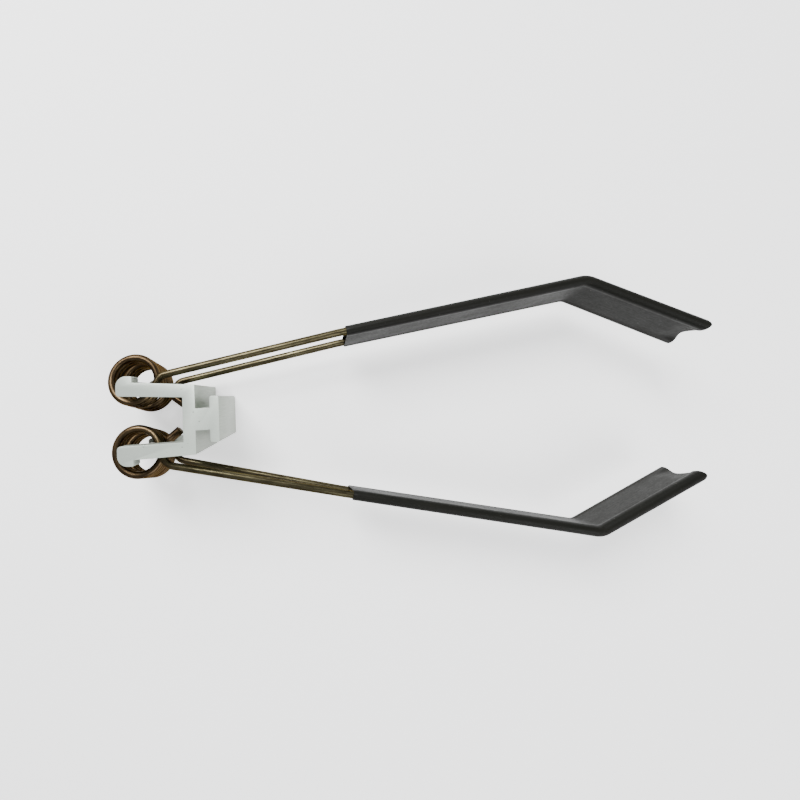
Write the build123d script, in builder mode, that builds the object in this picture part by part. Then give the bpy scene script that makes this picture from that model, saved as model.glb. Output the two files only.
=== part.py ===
"""Spring-loaded gripping tongs: an extruded bracket with two sprung, sleeved arms.

Millimetres. The origin is the centre of the bracket's T-head face. +X runs along the
arms towards their tips, +Y from the lower arm to the upper one, and +Z along the
bracket's extrusion. Each arm is two torsion springs of opposite hand, side by side
along Z, whose long legs share one sleeve. Every arm piece is drawn as the upper arm's,
upright, then mirrored where it is the lower one's, and leaned a little on its pin.
"""

import os
from math import cos, pi, radians, sin

from build123d import *

# ------------------------------------------------------------ driving dimensions

# Bracket: one aluminium extrusion, its profile seen along Z
bracket_length = 27.6
head_thickness = 2.4
head_height = 11.5
head_corner = 0.5
neck_length = 3.6
neck_height = 5.5
flange_thickness = 3.2
flange_height = 17.4

# Prongs: the two plates that leave the flange towards -X and hold the pins
prong_root_y = 5.6  # of the inner surface, at the flange
prong_end_y = 6.35  # of the inner surface, at the free end
prong_end_x = -26.25
prong_corner = 0.9
crown_foot_height = 2.4  # of the free end's flat part, below its round crown
lip_x = -22.0  # of the lip's side that faces the flange
lip_foot_y = 9.75  # where that side meets the prong's outer surface
lip_top_y = 11.35
lip_top_width = 1.4
lip_corner = 0.5

# Window milled through each prong, which leaves a front ear and a rear ear
window_half_width = 9.2
window_root_x = -12.6
window_corner = 1.0

# Pins, pressed in from the rear through the coils and into blind holes
pin_dia = 3.0
pin_x = -24.1
pin_y = 8.8
pin_chamfer = 0.3
pin_end_play = 0.1
pin_hole_clearance = 0.01  # on the radius
pin_end_wall = 1.2  # of the front ear, left in front of the hole

# Springs: round wire, three turns less the exit angle, a short hook and a long leg
wire_dia = 2.0
coil_radius = 6.2  # to the middle of the wire
coil_pitch = 2.05
coil_inner_z = 1.25  # where the coil starts, next to its twin
full_turns = 3
leg_entry = (31.0, 20.96)  # where the leg stops closing in on its twin
leg_bend = (94.2, 31.7)  # where the leg turns in
leg_tip = (120.2, 18.15)
leg_z = 5.5  # of the leg inside the sleeve
leg_exit_radius = 3.0
leg_entry_radius = 20.0
leg_bend_radius = 4.0
hook_bend_radius = 1.8

# Sleeves: one flat tube shrunk over both legs of an arm
sleeve_wall = 0.37
sleeve_bore_clearance = 0.05
sleeve_start_x = 33.0
tip_cover = 0.45  # of the sleeve, beyond the wire's end
tip_hollow = 2.6  # how far the end draws back between the tips
tip_hollow_half_width = 4.2

# How each arm sits: its coils are loose on the pin, so the two arms aren't quite alike.
# Points are given as on the upper arm, and leans in degrees about the arm's leg.
coil_centre = {"upper": (-24.1, 9.9), "lower": (-23.7, 9.5)}
coil_lean = {"upper": 8.0, "lower": 9.0}
arm_lean = {"upper": 8.5, "lower": 5.5}
arm_offset = {"upper": -0.4, "lower": 0.4}  # of the sleeved part, outwards
exit_angle = {"upper": -30.0, "lower": -20.0}  # round the coil, where the leg leaves it
exit_run = {  # from there to the leg's first corner
    "upper": {"front": 4.4, "rear": 5.4},
    "lower": {"front": 6.2, "rear": 4.4},
}
hook_corner_y = {"upper": 8.1, "lower": 6.3}
hook_end = {"upper": (-11.8, 3.5), "lower": (-13.9, 3.3)}  # inside the bracket

# ------------------------------------------------------------ worked-out values

wire_radius = wire_dia / 2
sleeve_radius = wire_radius + sleeve_wall
head_back_x = -head_thickness
flange_front_x = head_back_x - neck_length
flange_back_x = flange_front_x - flange_thickness
coil_slope = coil_pitch / (2 * pi * coil_radius)  # rise along Z for each mm round the coil
leg_direction = (Vector(leg_bend) - Vector(leg_entry)).normalized()
paddle_direction = (Vector(leg_tip) - Vector(leg_bend)).normalized()

# ------------------------------------------------------------ bracket


def corner(sketch, x, y):
    """The sketch's vertices at a point."""
    return sketch.vertices().filter_by(lambda v: abs(v.X - x) < 0.01 and abs(v.Y - y) < 0.01)


with BuildPart() as bracket:
    with BuildSketch(Plane.XY.offset(-bracket_length / 2)) as profile:
        crown_foot = (prong_end_x, prong_end_y + crown_foot_height)
        crown_top = (lip_x - lip_top_width, lip_top_y)
        with BuildLine():
            Polyline(
                crown_top,
                (lip_x, lip_top_y),
                (lip_x, lip_foot_y),
                (flange_front_x, flange_height / 2),
                (flange_front_x, neck_height / 2),
                (head_back_x, neck_height / 2),
                (head_back_x, head_height / 2),
                (0, head_height / 2),
                (0, 0),
                (flange_back_x, 0),
                (flange_back_x, prong_root_y),
                (prong_end_x, prong_end_y),
                crown_foot,
            )
            TangentArc(crown_foot, crown_top, tangent=(0, 1))
        make_face()
        fillet(corner(profile, lip_x, lip_top_y), lip_corner)
        fillet(corner(profile, prong_end_x, prong_end_y), prong_corner)
        fillet(corner(profile, 0, head_height / 2), head_corner)
        fillet(corner(profile, head_back_x, head_height / 2), head_corner)
        mirror(about=Plane.XZ)
    extrude(amount=bracket_length)

    # One cut opens both windows
    with BuildSketch(Plane.XZ) as window:
        with BuildLine():
            Polyline(
                (prong_end_x - 1, -window_half_width),
                (window_root_x, -window_half_width),
                (window_root_x, window_half_width),
                (prong_end_x - 1, window_half_width),
                close=True,
            )
        make_face()
        fillet(window.vertices().group_by(Axis.X)[-1], window_corner)
    extrude(amount=flange_height, both=True, mode=Mode.SUBTRACT)

    # Pin holes, open at the rear and blind at the front
    with BuildSketch(Plane.XY.offset(-bracket_length / 2)):
        with Locations((pin_x, pin_y), (pin_x, -pin_y)):
            Circle(pin_dia / 2 + pin_hole_clearance)
    extrude(amount=bracket_length - pin_end_wall, mode=Mode.SUBTRACT)

# ------------------------------------------------------------ pins

with BuildPart() as pin:
    with BuildSketch(Plane.XY.offset(-bracket_length / 2)):
        with Locations((pin_x, pin_y)):
            Circle(pin_dia / 2)
    extrude(amount=bracket_length - pin_end_wall - pin_end_play)
    chamfer(pin.edges().filter_by(GeomType.CIRCLE), pin_chamfer)

# ------------------------------------------------------------ springs


def lean_axis(side):
    """The line that an arm leans about: through its coil's centre, along its leg."""
    return Axis(Vector(*coil_centre[side], 0), leg_direction)


def leaned_point(point, side, angle):
    """A point turned about that line."""
    centre = Vector(*coil_centre[side], 0)
    return centre + (point - centre).rotate(lean_axis(side), angle)


def spring(side, end, hand):
    """One torsion spring, drawn as the upper arm's front one with its coil upright.

    The leg leans a little less or more than the coil does, so its far points are turned
    by the difference. hand is 1, or -1 for a spring that will be mirrored an odd number
    of times on its way to its place.
    """
    coil_x, coil_y = coil_centre[side]
    coil_sweep = 360 * full_turns + exit_angle[side]
    coil_height = coil_pitch * coil_sweep / 360
    angle = radians(exit_angle[side])
    coil_end = Vector(
        coil_x + coil_radius * cos(angle),
        coil_y + coil_radius * sin(angle),
        coil_inner_z + coil_height,
    )
    exit_heading = Vector(-sin(angle), cos(angle), coil_slope)
    coil_start = Vector(coil_x + coil_radius, coil_y, coil_inner_z)
    hook_z = coil_inner_z - coil_slope * (coil_y - hook_corner_y[side])
    hook_corner = Vector(coil_start.X, hook_corner_y[side], hook_z)
    hook_start = Vector(*hook_end[side], hook_z)
    leg_twist = hand * (coil_lean[side] - arm_lean[side])
    leg_points = [
        leaned_point(Vector(x, y + arm_offset[side], leg_z), side, leg_twist)
        for x, y in (leg_entry, leg_bend, leg_tip)
    ]
    with BuildPart() as wire:
        with BuildLine() as wire_line:
            FilletPolyline(hook_start, hook_corner, coil_start, radius=hook_bend_radius)
            Helix(coil_pitch, coil_height, coil_radius, center=(coil_x, coil_y, coil_inner_z))
            FilletPolyline(
                coil_end,
                coil_end + exit_heading * exit_run[side][end],
                *leg_points,
                radius=[leg_exit_radius, leg_entry_radius, leg_bend_radius],
            )
        with BuildSketch(Plane(origin=hook_start, z_dir=hook_corner - hook_start)):
            Circle(wire_radius)
        sweep(path=wire_line.wire())
    return wire.part


# ------------------------------------------------------------ sleeves


def sleeve(side):
    """One sleeve, drawn as the upper arm's and upright."""
    bend = Vector(leg_bend[0], leg_bend[1] + arm_offset[side])
    tip = Vector(leg_tip[0], leg_tip[1] + arm_offset[side])
    start = bend - leg_direction * ((bend.X - sleeve_start_x) / leg_direction.X)
    end = tip + paddle_direction * tip_cover
    start_plane = Plane(origin=start, x_dir=(0, 0, 1), z_dir=leg_direction)
    end_plane = Plane(origin=end, x_dir=(0, 0, 1), z_dir=paddle_direction.cross(Vector(0, 0, 1)))
    cavity_radius = wire_radius + sleeve_bore_clearance
    cavity_end = tip + paddle_direction * sleeve_bore_clearance
    with BuildPart() as tube:
        with BuildLine() as outer_line:
            FilletPolyline(start, bend, end, radius=leg_bend_radius)
        with BuildSketch(start_plane):
            SlotCenterToCenter(2 * leg_z, 2 * sleeve_radius)
        sweep(path=outer_line.wire())

        with BuildLine() as cavity_line:
            FilletPolyline(start, bend, cavity_end, radius=leg_bend_radius)
        with BuildSketch(start_plane):
            SlotCenterToCenter(2 * leg_z, 2 * cavity_radius)
        sweep(path=cavity_line.wire(), mode=Mode.SUBTRACT)

        # Between the tips the end draws back in an arc, which opens the tube
        with BuildSketch(end_plane):
            with BuildLine():
                ThreePointArc(
                    (-tip_hollow_half_width, 0),
                    (0, tip_hollow),
                    (tip_hollow_half_width, 0),
                )
                Line((tip_hollow_half_width, 0), (-tip_hollow_half_width, 0))
            make_face()
        extrude(amount=2 * sleeve_radius, both=True, mode=Mode.SUBTRACT)
    return tube.part


# ------------------------------------------------------------ placing and writing


def placed(part, side, lean):
    """An upright upper-arm piece, taken to its side and leaned."""
    if side == "upper":
        return part.rotate(lean_axis(side), -lean)
    axis = lean_axis(side)
    mirrored_axis = Axis(
        Vector(axis.position.X, -axis.position.Y, 0), Vector(axis.direction.X, -axis.direction.Y, 0)
    )
    return mirror(part, about=Plane.XZ).rotate(mirrored_axis, -lean)


pieces = {"bracket": bracket.part}
pieces["upper_pin"] = pin.part
pieces["lower_pin"] = mirror(pin.part, about=Plane.XZ)
for side, side_hand in (("upper", 1), ("lower", -1)):
    front_spring = spring(side, "front", side_hand)
    rear_spring = mirror(spring(side, "rear", -side_hand), about=Plane.XY)
    pieces[side + "_front_spring"] = placed(front_spring, side, coil_lean[side])
    pieces[side + "_rear_spring"] = placed(rear_spring, side, coil_lean[side])
    pieces[side + "_sleeve"] = placed(sleeve(side), side, arm_lean[side])

os.makedirs("parts", exist_ok=True)
for name, piece in pieces.items():
    piece.label = name
    export_step(piece, f"parts/{name}.step")
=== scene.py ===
from math import cos, pi, radians, sin, sqrt, tan

import bmesh
import bpy
from mathutils import Matrix, Vector


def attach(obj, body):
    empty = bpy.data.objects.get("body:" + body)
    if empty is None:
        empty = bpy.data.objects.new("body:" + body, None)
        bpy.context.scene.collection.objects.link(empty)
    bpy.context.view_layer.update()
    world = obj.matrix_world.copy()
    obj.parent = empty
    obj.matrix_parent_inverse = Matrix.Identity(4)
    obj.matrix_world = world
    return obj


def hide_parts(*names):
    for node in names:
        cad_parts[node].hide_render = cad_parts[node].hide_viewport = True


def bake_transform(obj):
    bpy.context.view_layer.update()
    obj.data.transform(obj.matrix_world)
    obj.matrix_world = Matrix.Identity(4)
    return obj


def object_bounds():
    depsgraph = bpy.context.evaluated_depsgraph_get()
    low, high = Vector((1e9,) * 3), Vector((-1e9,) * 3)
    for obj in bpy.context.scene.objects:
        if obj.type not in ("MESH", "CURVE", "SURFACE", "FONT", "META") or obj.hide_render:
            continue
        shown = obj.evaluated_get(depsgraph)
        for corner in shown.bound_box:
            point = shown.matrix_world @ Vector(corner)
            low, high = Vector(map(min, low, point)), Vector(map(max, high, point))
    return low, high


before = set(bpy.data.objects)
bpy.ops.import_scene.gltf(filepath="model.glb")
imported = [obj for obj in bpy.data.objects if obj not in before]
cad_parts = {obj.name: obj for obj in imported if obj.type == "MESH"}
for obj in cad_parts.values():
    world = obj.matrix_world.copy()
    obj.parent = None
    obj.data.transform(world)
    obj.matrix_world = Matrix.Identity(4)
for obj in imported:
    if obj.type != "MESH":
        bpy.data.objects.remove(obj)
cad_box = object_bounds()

# The tongs lie on the bracket's rear face. Shapes are drawn in millimetres, as the upper
# arm's front ones and upright, and placement() takes them to their places in metres.

METRES = 0.001

# ------------------------------------------------------------ sizes

WIRE_RADIUS = 1.0
COIL_RADIUS = 6.2
COIL_PITCH = 2.05
COIL_INNER_Z = 1.25
FULL_TURNS = 3
LEG_ENTRY = (31.0, 20.96)
LEG_BEND = (94.2, 31.7)
LEG_TIP = (120.2, 18.15)
LEG_Z = 5.5
LEG_EXIT_RADIUS = 3.0
LEG_ENTRY_RADIUS = 20.0
LEG_BEND_RADIUS = 4.0
HOOK_BEND_RADIUS = 1.8
CUT_EDGE = 0.12  # the worn edge of a wire's cut end

SLEEVE_RADIUS = 1.37
SLEEVE_WALL = 0.3
SLEEVE_START_X = 33.0
TIP_COVER = 0.45
TIP_HOLLOW = 1.6  # how far the sleeve's end draws back between the tips
TIP_HOLLOW_HALF_WIDTH = 5.3
TIP_ROUNDING = 0.35  # how far the end falls back at its two outer corners
FAR_TIP_ROUNDING = 0.3  # of the rear tip's round end, as a share of the front one's
PINCH_LENGTH = 6.0  # over which the sleeve's two faces close at its end
PINCHED_HALF_THICKNESS = 0.7
FACE_SAG = 0.12  # how far the faces lie below the rounds over the wires
FACE_HALF_WIDTH = 4.5
MOUTH_DEPTH = 12.0
MOUTH_EDGE = 0.25  # from the rim to where the bore's wall starts to round over
RIM_EDGE = 0.1  # from the rim to where the outside starts
PINCH_HALF_WIDTH = 3.4  # of the part of the end that is pinched all the way
FAR_TO_NEAR_HALF_WIDTH = 3.0  # of the part where one tip's rounding turns into the other's
LEAST_HALF_THICKNESS = 0.01  # never 0, because things are divided by it
LEAST_ROUND_LENGTH = 0.05  # of the rounding at the very end, for the same reason

# How each arm sits, in millimetres and degrees. Its hand is 1 or -1, as its front spring winds.
SIDES = {
    "upper": {
        "coil": (-24.1, 9.9),
        "coil_lean": 8.0,
        "arm_lean": 8.5,
        "arm_offset": -0.4,
        "exit_angle": -30.0,
        "exit_run": {"front": 4.4, "rear": 5.4},
        "hook_corner_y": 8.1,
        "hook_end": (-11.8, 3.5),
        "hand": 1,
    },
    "lower": {
        "coil": (-23.7, 9.5),
        "coil_lean": 9.0,
        "arm_lean": 5.5,
        "arm_offset": 0.4,
        "exit_angle": -20.0,
        "exit_run": {"front": 6.2, "rear": 4.4},
        "hook_corner_y": 6.3,
        "hook_end": (-13.9, 3.3),
        "hand": -1,
    },
}

UP = Vector((0, 0, 1))
LEG_DIRECTION = (Vector((*LEG_BEND, 0)) - Vector((*LEG_ENTRY, 0))).normalized()
PADDLE_DIRECTION = (Vector((*LEG_TIP, 0)) - Vector((*LEG_BEND, 0))).normalized()
COIL_SLOPE = COIL_PITCH / (2 * pi * COIL_RADIUS)

# ------------------------------------------------------------ lines in space

ARC_STEPS = 14  # for each rounded corner
SAME_DISTANCE = 1e-9


def turned_about(centre, direction, degrees):
    """The matrix of a turn about a line."""
    there = Matrix.Translation(centre)
    return there @ Matrix.Rotation(radians(degrees), 4, direction) @ there.inverted()


def placement(side, lean, rear=False):
    """The matrix that takes an upright upper front shape, in mm, to its place, in metres."""
    across = -1 if side == "lower" else 1
    coil_x, coil_y = SIDES[side]["coil"]
    centre = Vector((coil_x, across * coil_y, 0))
    direction = Vector((LEG_DIRECTION.x, across * LEG_DIRECTION.y, 0))
    flip = Matrix.Diagonal((1, across, -1 if rear else 1, 1))
    return Matrix.Scale(METRES, 4) @ turned_about(centre, direction, -lean) @ flip


def rounded(points, radii):
    """The points of a polyline whose inner corners are rounded."""
    path = [points[0]]
    for before, corner, after, radius in zip(points, points[1:], points[2:], radii):
        inward = (corner - before).normalized()
        outward = (after - corner).normalized()
        turn = inward.angle(outward)
        reach = radius * tan(turn / 2)
        axis = inward.cross(outward).normalized()
        first = corner - inward * reach
        centre = first + axis.cross(inward) * radius
        for step in range(ARC_STEPS + 1):
            spin = Matrix.Rotation(turn * step / ARC_STEPS, 3, axis)
            path.append(centre + spin @ (first - centre))
    path.append(points[-1])
    return path


def lengths_along(path):
    """The distance along a path to each of its points."""
    total = [0.0]
    for before, after in zip(path, path[1:]):
        total.append(total[-1] + (after - before).length)
    return total


def headings(path):
    """The direction of a path at each of its points."""
    ahead = path[1:] + path[-1:]
    behind = path[:1] + path[:-1]
    return [(a - b).normalized() for a, b in zip(ahead, behind)]


# ------------------------------------------------------------ meshes


def new_piece(name, vertices, faces, matrix, sharp_degrees=40):
    """A smooth mesh object whose edges are sharp above an angle, moved by a matrix."""
    mesh = bpy.data.meshes.new(name)
    mesh.from_pydata([tuple(v) for v in vertices], [], faces)
    mesh.transform(matrix)
    outwards = bmesh.new()
    outwards.from_mesh(mesh)
    bmesh.ops.recalc_face_normals(outwards, faces=outwards.faces)
    outwards.to_mesh(mesh)
    outwards.free()
    mesh.shade_smooth()
    mesh.set_sharp_from_angle(angle=radians(sharp_degrees))
    piece = bpy.data.objects.new(name, mesh)
    bpy.context.collection.objects.link(piece)
    return piece


def keep_place(piece, places):
    """Stores where each point is on the unrolled surface, for the textures to follow."""
    attribute = piece.data.attributes.new("place", "FLOAT_VECTOR", "POINT")
    attribute.data.foreach_set("vector", [c for place in places for c in place])


def ring_faces(ring, next_ring):
    """The quads between two rings of point numbers."""
    around = zip(ring, ring[1:] + ring[:1], next_ring[1:] + next_ring[:1], next_ring)
    return [list(corners) for corners in around]


# ------------------------------------------------------------ springs

WIRE_SIDES = 24
HELIX_STEPS = 72  # for each turn


def spring_path(side, end, hand):
    """A spring's centre line, and the distances along it where its coil starts and ends."""
    seat = SIDES[side]
    coil_x, coil_y = seat["coil"]
    sweep = 360 * FULL_TURNS + seat["exit_angle"]
    steps = round(HELIX_STEPS * sweep / 360)
    helix = []
    for step in range(steps + 1):
        angle = radians(sweep * step / steps)
        x = coil_x + COIL_RADIUS * cos(angle)
        y = coil_y + COIL_RADIUS * sin(angle)
        helix.append(Vector((x, y, COIL_INNER_Z + COIL_PITCH * sweep / 360 * step / steps)))

    hook_z = COIL_INNER_Z - COIL_SLOPE * (coil_y - seat["hook_corner_y"])
    hook_start = Vector((*seat["hook_end"], hook_z))
    hook_corner = Vector((coil_x + COIL_RADIUS, seat["hook_corner_y"], hook_z))
    hook = rounded([hook_start, hook_corner, helix[0]], [HOOK_BEND_RADIUS])

    exit_angle = radians(seat["exit_angle"])
    exit_heading = Vector((-sin(exit_angle), cos(exit_angle), COIL_SLOPE))
    twist = hand * (seat["coil_lean"] - seat["arm_lean"])
    leaned = turned_about(Vector((coil_x, coil_y, 0)), LEG_DIRECTION, twist)
    corners = [helix[-1], helix[-1] + exit_heading * seat["exit_run"][end]]
    for x, y in (LEG_ENTRY, LEG_BEND, LEG_TIP):
        corners.append(leaned @ Vector((x, y + seat["arm_offset"], LEG_Z)))
    leg = rounded(corners, [LEG_EXIT_RADIUS, LEG_ENTRY_RADIUS, LEG_BEND_RADIUS])

    path = hook[:-1] + helix + leg[1:]
    lengths = lengths_along(path)
    return path, lengths[len(hook) - 1], lengths[len(hook) + len(helix) - 2]


def wire_rings(path):
    """A wire's rings: point, heading, normal, distance, radius. Its cut ends have worn edges."""
    directions = headings(path)
    normal = directions[0].orthogonal().normalized()
    lengths = lengths_along(path)
    stations = []
    for point, direction, length in zip(path, directions, lengths):
        normal = (normal - direction * normal.dot(direction)).normalized()
        stations.append((point, direction, normal, length, WIRE_RADIUS))
    first, last = stations[0], stations[-1]
    worn = WIRE_RADIUS - CUT_EDGE
    stations[0] = (*first[:4], worn)
    stations.insert(1, (first[0] + first[1] * CUT_EDGE, *first[1:3], CUT_EDGE, WIRE_RADIUS))
    stations[-1] = (*last[:4], worn)
    inside = last[0] - last[1] * CUT_EDGE
    stations.insert(-1, (inside, *last[1:3], last[3] - CUT_EDGE, WIRE_RADIUS))
    return stations


def spring(side, end):
    """One torsion spring: its hook lies by the bracket and its leg runs along the arm."""
    rear = end == "rear"
    seat = SIDES[side]
    hand = seat["hand"] * (-1 if rear else 1)
    path, coil_start, coil_end = spring_path(side, end, hand)
    stations = wire_rings(path)
    vertices, places, weights, faces = [], [], [], []
    for point, direction, normal, length, radius in stations:
        side_way = direction.cross(normal)
        share = min(max((length - coil_start) / (coil_end - coil_start), 0), 1)
        for index in range(WIRE_SIDES):
            angle = 2 * pi * index / WIRE_SIDES
            vertices.append(point + (normal * cos(angle) + side_way * sin(angle)) * radius)
            places.append((cos(angle), sin(angle), length - coil_end))
            weights.append(share)
    for index in range(len(stations) - 1):
        start = index * WIRE_SIDES
        ring = list(range(start, start + WIRE_SIDES))
        faces += ring_faces(ring, [number + WIRE_SIDES for number in ring])
    faces.append(list(range(WIRE_SIDES)))
    faces.append(list(range(len(vertices) - WIRE_SIDES, len(vertices))))

    name = f"{side}_{end}_wire"
    piece = new_piece(name, vertices, faces, placement(side, seat["coil_lean"], rear))
    keep_place(piece, places)
    piece.data.materials.append(SPRING_STEEL)
    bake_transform(piece)
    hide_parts(f"{side}_{end}_spring")


# ------------------------------------------------------------ sleeves

FACE_STEPS = 8  # across each of a face's two parts
ROUND_STEPS = 9  # round a quarter of the wire
LENGTH_STEPS = 80  # along the whole sleeve
END_STEPS = 40  # along its closing end
BEND_CLEARANCE = 0.3  # between the even steps and the bend's own
END_CLEARANCE = 0.5  # between the even steps and the closing end
RIM_SHARES = (0.75, 0.25)  # of the wall, inwards from the outside, for the rim's two rings
SLEEVE_MERGE = 2e-6  # in metres: points this close together become one


def smooth_step(value):
    """0 below 0, 1 above 1 and smooth in between."""
    value = min(max(value, 0), 1)
    return value * value * (3 - 2 * value)


def sleeve_widths():
    """Places across half a sleeve, from its middle to its edge."""
    to_wire = LEG_Z - FACE_HALF_WIDTH
    widths = [FACE_HALF_WIDTH * step / FACE_STEPS for step in range(FACE_STEPS)]
    widths += [FACE_HALF_WIDTH + to_wire * step / FACE_STEPS for step in range(FACE_STEPS)]
    for step in range(ROUND_STEPS + 1):
        widths.append(LEG_Z + SLEEVE_RADIUS * sin(pi / 2 * step / ROUND_STEPS))
    return widths


def half_thickness(width):
    """From a sleeve's middle plane to its outer surface."""
    beyond = abs(width) - LEG_Z
    if beyond > 0:
        return sqrt(max(SLEEVE_RADIUS**2 - beyond**2, 0))
    sag = smooth_step(-beyond / (LEG_Z - FACE_HALF_WIDTH))
    return SLEEVE_RADIUS - FACE_SAG * sag


def end_place(width):
    """How far short of the tips' ends the sleeve stops."""
    beyond = abs(width) - LEG_Z
    if beyond > 0:
        return TIP_ROUNDING * (1 - sqrt(max(1 - (beyond / SLEEVE_RADIUS) ** 2, 0)))
    if abs(width) > TIP_HOLLOW_HALF_WIDTH:
        return 0
    return TIP_HOLLOW * (1 + cos(pi * width / TIP_HOLLOW_HALF_WIDTH)) / 2


def section(shrink=0.0):
    """A loop round a sleeve: (place across, signed distance from its middle plane)."""
    half = sleeve_widths()
    across = [-width for width in reversed(half[1:])] + half
    scale = (LEG_Z + SLEEVE_RADIUS - shrink) / (LEG_Z + SLEEVE_RADIUS)
    outside = [(width * scale, max(half_thickness(width) - shrink, 0)) for width in across]
    back = [(width, -thickness) for width, thickness in reversed(outside[1:-1])]
    return outside + back


def sleeve_line(side):
    """The corners of a sleeve's middle line, rounded at its bend."""
    outwards = SIDES[side]["arm_offset"]
    bend = Vector((LEG_BEND[0], LEG_BEND[1] + outwards, 0))
    tip = Vector((LEG_TIP[0], LEG_TIP[1] + outwards, 0))
    start = bend - LEG_DIRECTION * ((bend.x - SLEEVE_START_X) / LEG_DIRECTION.x)
    return rounded([start, bend, tip + PADDLE_DIRECTION * TIP_COVER], [LEG_BEND_RADIUS])


def on_line(line, distance):
    """The point of a middle line at a distance along it, and the way outwards there."""
    lengths = lengths_along(line)
    index = max(i for i, length in enumerate(lengths[:-1]) if length <= distance + SAME_DISTANCE)
    span = lengths[index + 1] - lengths[index]
    heading = (line[index + 1] - line[index]).normalized()
    point = line[index] + heading * (distance - lengths[index])
    if span > LEG_BEND_RADIUS:  # a straight stretch, not a step of the bend
        return point, UP.cross(heading)
    ways = headings(line)
    way = ways[index].lerp(ways[index + 1], (distance - lengths[index]) / span).normalized()
    return point, UP.cross(way)


def sleeve_stations(line):
    """Distances along a sleeve: even steps, and every step of the bend."""
    lengths = lengths_along(line)
    total = lengths[-1]
    bend = lengths[1:-1]
    even = [total * step / LENGTH_STEPS for step in range(LENGTH_STEPS + 1)]
    even = [s for s in even if s < total - PINCH_LENGTH - END_CLEARANCE]
    before_bend = [s for s in even if s < bend[0] - BEND_CLEARANCE]
    after_bend = [s for s in even if s > bend[-1] + BEND_CLEARANCE]
    return before_bend + bend + after_bend


def sleeve_ring(distance, shrink=0.0):
    """A ring round a sleeve: (distance along, place across, distance from its middle)."""
    return [(distance, width, thickness) for width, thickness in section(shrink)]


def closing_ring(total, share):
    """A ring of the end, whose faces pinch together between the wires, then round over."""
    end_start = total - PINCH_LENGTH
    ring = []
    for width, thickness in section():
        end = total - end_place(width)
        distance = end_start + (end - end_start) * share
        pinch = smooth_step((distance - end_start) / (end - end_start))
        to_wire = LEG_Z - WIRE_RADIUS - PINCH_HALF_WIDTH
        over_wire = smooth_step((abs(width) - PINCH_HALF_WIDTH) / to_wire)
        open_half = half_thickness(width)
        thin = min(PINCHED_HALF_THICKNESS / max(open_half, LEAST_HALF_THICKNESS), 1)
        scale = 1 + (thin - 1) * pinch * (1 - over_wire)
        near = smooth_step((width + FAR_TO_NEAR_HALF_WIDTH) / (2 * FAR_TO_NEAR_HALF_WIDTH))
        blunt = FAR_TIP_ROUNDING + (1 - FAR_TIP_ROUNDING) * near
        round_length = max(open_half * scale * blunt, LEAST_ROUND_LENGTH)
        short = max(1 - (end - distance) / round_length, 0)
        scale *= sqrt(max(1 - short**2, 0))
        ring.append((distance, width, thickness * scale))
    return ring


def sleeve_rings(line):
    """All rings of a sleeve, from the floor of its mouth out to the rim and on to its end."""
    total = lengths_along(line)[-1]
    inside = (MOUTH_DEPTH, MOUTH_DEPTH / 2, MOUTH_EDGE)
    rings = [sleeve_ring(distance, SLEEVE_WALL) for distance in inside]
    rings += [sleeve_ring(0.0, SLEEVE_WALL * share) for share in RIM_SHARES]
    rings += [sleeve_ring(max(distance, RIM_EDGE)) for distance in sleeve_stations(line)]
    for step in range(1, END_STEPS + 1):
        rings.append(closing_ring(total, sin(pi / 2 * step / END_STEPS)))
    return rings


def sleeve(side):
    """A shrunk tube over both legs of an arm, open at its mouth and closed over the tips."""
    line = sleeve_line(side)
    rings = sleeve_rings(line)
    vertices, places, faces = [], [], []
    for ring in rings:
        for distance, width, thickness in ring:
            point, outward = on_line(line, distance)
            vertices.append(point + outward * thickness + UP * width)
            places.append((width, thickness, distance))
    around = len(rings[0])
    for first in range(0, len(vertices) - around, around):
        numbers = list(range(first, first + around))
        faces += ring_faces(numbers, [number + around for number in numbers])
    faces.append(list(range(around)))

    lean = SIDES[side]["arm_lean"]
    piece = new_piece(f"{side}_shrink_sleeve", vertices, faces, placement(side, lean))
    keep_place(piece, places)
    merged = bmesh.new()
    merged.from_mesh(piece.data)
    bmesh.ops.remove_doubles(merged, verts=merged.verts, dist=SLEEVE_MERGE)
    bmesh.ops.recalc_face_normals(merged, faces=merged.faces)
    merged.to_mesh(piece.data)
    merged.free()
    piece.data.materials.append(SHRINK_TUBE)
    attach(piece, f"{side}_arm")
    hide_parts(f"{side}_sleeve")


# ------------------------------------------------------------ materials


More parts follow.
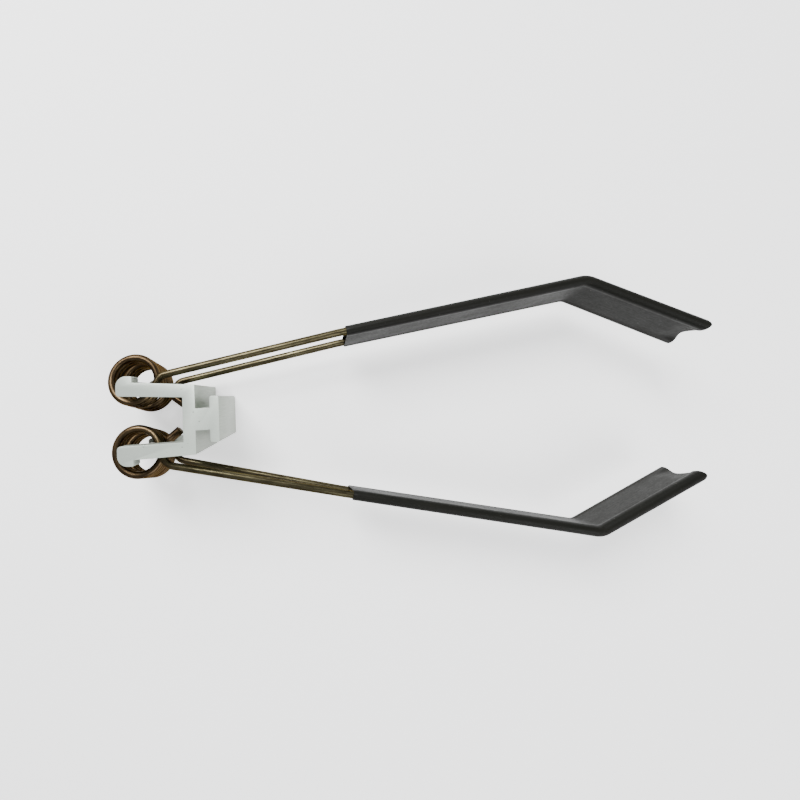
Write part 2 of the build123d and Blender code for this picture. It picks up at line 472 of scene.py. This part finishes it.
class Surface:
    """A node material, with short ways to add nodes and link them to its shader."""

    MIX_COLOURS = (6, 7)  # a Mix node's two colour inputs
    MIX_RESULT = 2  # and its colour output

    def __init__(self, name, **same_all_over):
        self.material = bpy.data.materials.new(name)
        self.material.use_nodes = True
        self.tree = self.material.node_tree
        self.shader = self.tree.nodes["Principled BSDF"]
        for socket, value in same_all_over.items():
            self.shader.inputs[socket.replace("_", " ")].default_value = value

    def node(self, kind, settings=None, **inputs):
        """A new node. An input, by its name or as _0 by its number, is a value or a socket."""
        made = self.tree.nodes.new("ShaderNode" + kind)
        for key, value in (settings or {}).items():
            setattr(made, key, value)
        for name, value in inputs.items():
            socket = made.inputs[int(name[1:]) if name[1:].isdigit() else name.replace("_", " ")]
            if isinstance(value, bpy.types.NodeSocket):
                self.tree.links.new(value, socket)
            else:
                socket.default_value = value
        return made

    def noise(self, place, stretch, scale, detail=3.0, roughness=0.5):
        """A noise from 0 to 1 whose grain is as fine as scale says, for each millimetre."""
        mapped = self.node("Mapping", Vector=place, Scale=stretch)
        made = self.node(
            "TexNoise",
            Vector=mapped.outputs["Vector"],
            Scale=scale,
            Detail=detail,
            Roughness=roughness,
        )
        return made.outputs["Fac"]

    def levels(self, value, low, high, to_low=0.0, to_high=1.0):
        """value from low to high, taken to another range and held there."""
        made = self.node("MapRange", Value=value, From_Min=low, From_Max=high)
        made.inputs["To Min"].default_value = to_low
        made.inputs["To Max"].default_value = to_high
        return made.outputs["Result"]

    def mix(self, share, first, second, kind="MIX"):
        """A mix of two colours."""
        made = self.node("Mix", {"data_type": "RGBA", "blend_type": kind}, _0=share)
        for number, colour in zip(self.MIX_COLOURS, (first, second)):
            if isinstance(colour, bpy.types.NodeSocket):
                self.tree.links.new(colour, made.inputs[number])
            else:
                made.inputs[number].default_value = (*colour, 1)
        return made.outputs[self.MIX_RESULT]

    def math(self, operation, first, second):
        """The sum, product or other function of two values."""
        return self.node("Math", {"operation": operation}, _0=first, _1=second).outputs[0]

    def bump(self, height, depth, before=None):
        """A bump whose full height is depth, in metres, over another one where it is given."""
        made = self.node("Bump", Height=height, Distance=depth, Strength=1.0)
        if before is not None:
            self.tree.links.new(before, made.inputs["Normal"])
        return made.outputs["Normal"]

    def put(self, **sockets):
        """Links outputs to the shader."""
        for name, output in sockets.items():
            self.tree.links.new(output, self.shader.inputs[name.replace("_", " ")])


def wire_place(surface):
    """Where a point is on the unrolled wire or sleeve, in millimetres."""
    return surface.node("Attribute", {"attribute_name": "place"}).outputs["Vector"]


def millimetres(surface):
    """Where a point is in the frame, in millimetres."""
    place = surface.node("TexCoord").outputs["Object"]
    return surface.node("Mapping", Vector=place, Scale=(1000, 1000, 1000)).outputs["Vector"]


def spring_steel():
    """Oil-tempered wire: brown at the coils, olive along the legs, with drawing lines."""
    surface = Surface("spring_steel", Metallic=1.0, Specular_Tint=(0.40, 0.36, 0.29, 1))
    place = wire_place(surface)
    lines = surface.noise(place, (1, 1, 0.04), 3.0, detail=4)
    patches = surface.noise(place, (1, 1, 0.35), 0.6, detail=4, roughness=0.6)
    specks = surface.noise(place, (1, 1, 1), 5.0, detail=2)
    along = surface.node("SeparateXYZ", Vector=place).outputs["Z"]
    leg_share = surface.levels(along, -6.0, 12.0)
    patch = surface.levels(patches, 0.35, 0.65)
    brown = surface.mix(patch, (0.038, 0.025, 0.014), (0.115, 0.080, 0.043))
    olive = surface.mix(patch, (0.042, 0.037, 0.021), (0.105, 0.094, 0.053))
    temper = surface.mix(leg_share, brown, olive)
    drawn = surface.mix(surface.levels(lines, 0.35, 0.7, 0.0, 0.55), temper, (0.018, 0.012, 0.007))
    oxide = surface.levels(specks, 0.6, 0.72, 0.0, 0.6)
    colour = surface.mix(oxide, drawn, (0.025, 0.018, 0.011))
    rough = surface.math("ADD", surface.levels(lines, 0.3, 0.7, 0.24, 0.36), oxide)
    rough = surface.math("MINIMUM", rough, 0.55)
    normal = surface.bump(lines, 0.00002)
    normal = surface.bump(specks, 0.00002, normal)
    surface.put(Base_Color=colour, Roughness=rough, Normal=normal)
    return surface.material


def shrink_tube():
    """Black shrink tube: a soft gloss, fine orange peel, long faint draws and some dust."""
    surface = Surface("shrink_tube", Specular_IOR_Level=0.14)
    place = wire_place(surface)
    peel = surface.noise(place, (1, 1, 0.7), 2.2, detail=3)
    draws = surface.noise(place, (1, 1, 0.06), 1.6, detail=2)
    cloud = surface.noise(place, (1, 1, 0.4), 0.35, detail=3)
    colour = surface.mix(cloud, (0.0022, 0.0024, 0.0014), (0.0055, 0.0055, 0.0036))
    dust = surface.noise(place, (1, 1, 0.8), 3.4, detail=1)
    colour = surface.mix(surface.levels(dust, 0.76, 0.80, 0.0, 0.5), colour, (0.10, 0.095, 0.08))
    rough = surface.levels(surface.math("ADD", cloud, peel), 0.7, 1.3, 0.46, 0.62)
    normal = surface.bump(peel, 0.00003)
    normal = surface.bump(draws, 0.00002, normal)
    surface.put(Base_Color=colour, Roughness=rough, Normal=normal)
    return surface.material


def aluminium():
    """Matt aluminium: sawn on its two cut faces, drawn along Z on its sides, a few pits. The sides
    are painted darker than the cut faces, as painted shade.
    """
    surface = Surface("bracket_aluminium", Metallic=0.5)
    place = millimetres(surface)
    outward = surface.node("NewGeometry").outputs["Normal"]
    facing = surface.node("SeparateXYZ", Vector=outward).outputs["Z"]
    cut_face = surface.levels(surface.math("ABSOLUTE", facing, 0.0), 0.7, 0.9)
    grain = surface.noise(place, (1, 1, 1), 4.0, detail=5, roughness=0.65)
    extruded = surface.noise(place, (1, 1, 0.02), 5.0, detail=3)
    sawn = surface.noise(place, (0.08, 1, 1), 5.0, detail=3)
    cloud = surface.noise(place, (1, 1, 1), 0.22, detail=3)
    spots = surface.node("TexVoronoi", {"feature": "F1"}, Vector=place, Scale=0.42, Randomness=1.0)
    pit = surface.levels(spots.outputs["Distance"], 0.05, 0.10, 1.0, 0.0)
    # painted shade: side is a darker copy of the cut faces' colour, standing in for the shade the
    # sides and slots lie in
    face = surface.mix(cloud, (0.455, 0.505, 0.45), (0.515, 0.56, 0.505))
    side = surface.mix(cloud, (0.30, 0.33, 0.285), (0.38, 0.41, 0.355))
    side = surface.mix(surface.levels(extruded, 0.35, 0.7, 0.0, 0.6), side, (0.22, 0.24, 0.205))
    face = surface.mix(surface.levels(sawn, 0.45, 0.75, 0.0, 0.18), face, (0.36, 0.39, 0.35))
    colour = surface.mix(cut_face, side, face)
    colour = surface.mix(surface.levels(grain, 0.35, 0.7, 0.0, 0.16), colour, (0.28, 0.31, 0.27))
    colour = surface.mix(surface.math("MULTIPLY", pit, 0.55), colour, (0.20, 0.21, 0.18))
    rough = surface.levels(grain, 0.3, 0.7, 0.42, 0.58)
    normal = surface.bump(grain, 0.00003)
    normal = surface.bump(extruded, 0.00003, normal)
    normal = surface.bump(pit, -0.00008, normal)
    surface.put(Base_Color=colour, Roughness=rough, Normal=normal)
    return surface.material


def pin_steel():
    """Ground steel pins, with fine rings round them."""
    surface = Surface("pin_steel", Metallic=1.0)
    place = millimetres(surface)
    rings = surface.noise(place, (0.1, 0.1, 1), 6.0, detail=3)
    smear = surface.noise(place, (1, 1, 1), 0.8, detail=3)
    colour = surface.mix(surface.levels(smear, 0.35, 0.7), (0.42, 0.41, 0.38), (0.24, 0.22, 0.18))
    rough = surface.levels(rings, 0.3, 0.7, 0.22, 0.42)
    surface.put(Base_Color=colour, Roughness=rough, Normal=surface.bump(rings, 0.00001))
    return surface.material


SPRING_STEEL = spring_steel()
SHRINK_TUBE = shrink_tube()
ALUMINIUM = aluminium()
PIN_STEEL = pin_steel()

# ------------------------------------------------------------ bracket and pins

BRACKET_EDGE = 0.00014  # in metres, as Blender takes it
SHARP_EDGE_DEGREES = 35
BRACKET_MERGE = 1e-6  # in metres, as SLEEVE_MERGE
FLAT_DEGREES = 0.5


def bracket():
    """The CAD bracket's shape, with the small broken edges that sawing and tumbling leave."""
    piece = bpy.data.objects.new("bracket_body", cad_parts["bracket"].data.copy())
    bpy.context.collection.objects.link(piece)
    shape = bmesh.new()
    shape.from_mesh(piece.data)
    bmesh.ops.remove_doubles(shape, verts=shape.verts, dist=BRACKET_MERGE)
    flat = radians(FLAT_DEGREES)
    bmesh.ops.dissolve_limit(shape, angle_limit=flat, verts=shape.verts, edges=shape.edges)
    shape.to_mesh(piece.data)
    shape.free()
    piece.data.shade_smooth()
    piece.data.materials.clear()
    piece.data.materials.append(ALUMINIUM)
    edges = piece.modifiers.new("broken_edges", "BEVEL")
    edges.width = BRACKET_EDGE
    edges.segments = 2
    edges.limit_method = "ANGLE"
    edges.angle_limit = radians(SHARP_EDGE_DEGREES)
    edges.harden_normals = True
    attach(piece, "bracket")
    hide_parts("bracket")


bracket()
for side in SIDES:
    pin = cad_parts[f"{side}_pin"]
    pin.data.materials.clear()
    pin.data.materials.append(PIN_STEEL)
    for end in ("front", "rear"):
        spring(side, end)
    sleeve(side)

# ------------------------------------------------------------ floor, light and camera

FLOOR_HALF_SIZE = 3.0
FLOOR_GAP = 0.0001  # below the object, so that the two don't share a plane
MIDDLE = (0.045, 0.0, 0.0)  # of the object, where the lights point
CAMERA_PLACE = (0.02022, 0.0047, 0.12127)
CAMERA_TURNS = (("Z", -0.0333), ("Y", 0.0645), ("X", 0.0207))  # in radians


def floor():
    """A plain pale floor under the bracket's rear face."""
    far = FLOOR_HALF_SIZE
    corners = [(-far, -far, 0), (far, -far, 0), (far, far, 0), (-far, far, 0)]
    height = Matrix.Translation((0, 0, cad_box[0].z - FLOOR_GAP))
    plane = new_piece("floor", corners, [[0, 1, 2, 3]], height)
    surface = Surface("floor_white", Base_Color=(0.9, 0.9, 0.9, 1), Roughness=0.9)
    surface.shader.inputs["Specular IOR Level"].default_value = 0.1
    surface.shader.inputs["Emission Color"].default_value = (1, 1, 1, 1)
    surface.shader.inputs["Emission Strength"].default_value = 0.9
    plane.data.materials.append(surface.material)


def soft_light(name, place, target, size, power):
    """A square light that faces a point."""
    lamp = bpy.data.lights.new(name, "AREA")
    lamp.size = size
    lamp.energy = power
    lamp_object = bpy.data.objects.new(name, lamp)
    lamp_object.location = place
    facing = (Vector(target) - Vector(place)).to_track_quat("-Z", "Y")
    lamp_object.rotation_euler = facing.to_euler()
    bpy.context.collection.objects.link(lamp_object)


def camera():
    """The photograph's view: down on the bracket's front face, from over the jaw."""
    view = bpy.data.cameras.new("camera")
    view.sensor_width = 36.0
    view.lens = 19.68
    view.shift_x = 0.16
    view.shift_y = -0.015
    view.clip_start = 0.005
    view.clip_end = 20.0
    eye = bpy.data.objects.new("camera", view)
    turn = Matrix.Identity(4)
    for axis, angle in CAMERA_TURNS:
        turn = turn @ Matrix.Rotation(angle, 4, axis)
    eye.matrix_world = Matrix.Translation(CAMERA_PLACE) @ turn
    bpy.context.collection.objects.link(eye)
    bpy.context.scene.camera = eye


world = bpy.data.worlds.new("studio")
world.use_nodes = True
sky = world.node_tree.nodes["Background"]
sky.inputs["Color"].default_value = (0.95, 0.97, 1.0, 1)
sky.inputs["Strength"].default_value = 0.65
bpy.context.scene.world = world

floor()
soft_light("key_light", (-0.16, 0.36, 0.42), MIDDLE, 0.30, 6.5)
soft_light("fill_light", (0.34, -0.34, 0.45), MIDDLE, 0.45, 3.0)
camera()
